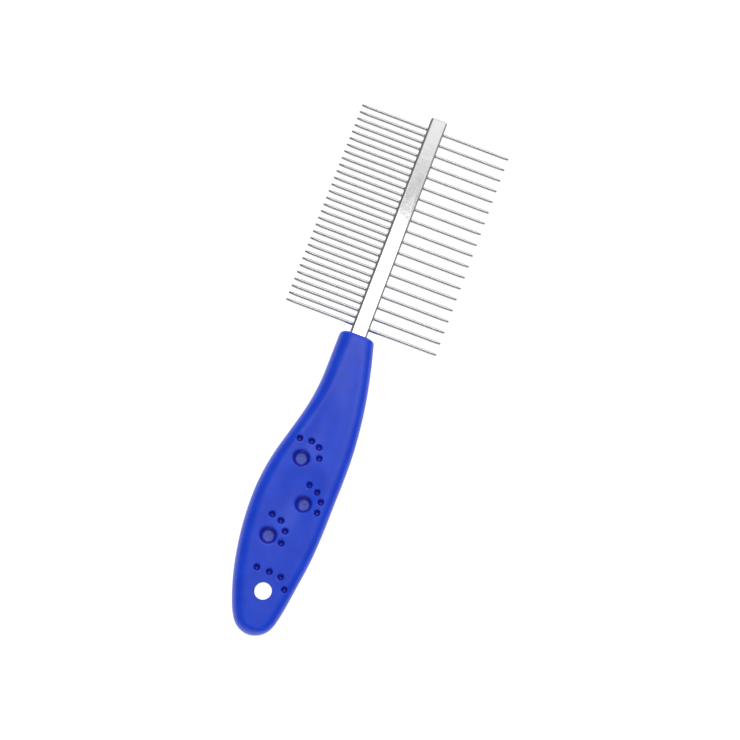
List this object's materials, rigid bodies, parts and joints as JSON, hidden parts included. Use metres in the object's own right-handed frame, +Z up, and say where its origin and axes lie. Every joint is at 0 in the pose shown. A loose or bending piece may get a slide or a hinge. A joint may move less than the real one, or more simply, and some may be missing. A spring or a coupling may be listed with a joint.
{
  "type": "double-sided pet comb",
  "caption": "Double-sided grooming comb: fine round pins on one side of a metal bar, coarse pins on the other, in a moulded handle with paw-shaped recesses and a hanging hole.",
  "frame": {"origin": "centre of the comb's box, on the flat back of the handle that it lies on", "axes": "+Y along the bar towards the head, +X towards the coarse pins, +Z up out of the handle's front face"},
  "size_m": [0.0568, 0.1948, 0.01],
  "materials": {
    "handle_plastic": "satin",
    "spine_metal": "polished",
    "pin_steel": "polished"
  },
  "bodies": {
    "root": {"handle": "handle_plastic", "spine": "spine_metal", "fine_pin_01": "pin_steel", "fine_pin_02": "pin_steel", "fine_pin_03": "pin_steel", "fine_pin_04": "pin_steel", "fine_pin_05": "pin_steel", "fine_pin_06": "pin_steel", "fine_pin_07": "pin_steel", "fine_pin_08": "pin_steel", "fine_pin_09": "pin_steel", "fine_pin_10": "pin_steel", "fine_pin_11": "pin_steel", "fine_pin_12": "pin_steel", "fine_pin_13": "pin_steel", "fine_pin_14": "pin_steel", "fine_pin_15": "pin_steel", "fine_pin_16": "pin_steel", "fine_pin_17": "pin_steel", "fine_pin_18": "pin_steel", "fine_pin_19": "pin_steel", "fine_pin_20": "pin_steel", "fine_pin_21": "pin_steel", "fine_pin_22": "pin_steel", "fine_pin_23": "pin_steel", "fine_pin_24": "pin_steel", "fine_pin_25": "pin_steel", "fine_pin_26": "pin_steel", "fine_pin_27": "pin_steel", "fine_pin_28": "pin_steel", "fine_pin_29": "pin_steel", "fine_pin_30": "pin_steel", "coarse_pin_01": "pin_steel", "coarse_pin_02": "pin_steel", "coarse_pin_03": "pin_steel", "coarse_pin_04": "pin_steel", "coarse_pin_05": "pin_steel", "coarse_pin_06": "pin_steel", "coarse_pin_07": "pin_steel", "coarse_pin_08": "pin_steel", "coarse_pin_09": "pin_steel", "coarse_pin_10": "pin_steel", "coarse_pin_11": "pin_steel", "coarse_pin_12": "pin_steel", "coarse_pin_13": "pin_steel", "coarse_pin_14": "pin_steel", "coarse_pin_15": "pin_steel", "coarse_pin_16": "pin_steel", "coarse_pin_17": "pin_steel", "coarse_pin_18": "pin_steel", "coarse_pin_19": "pin_steel"}
  },
  "joints": []
}
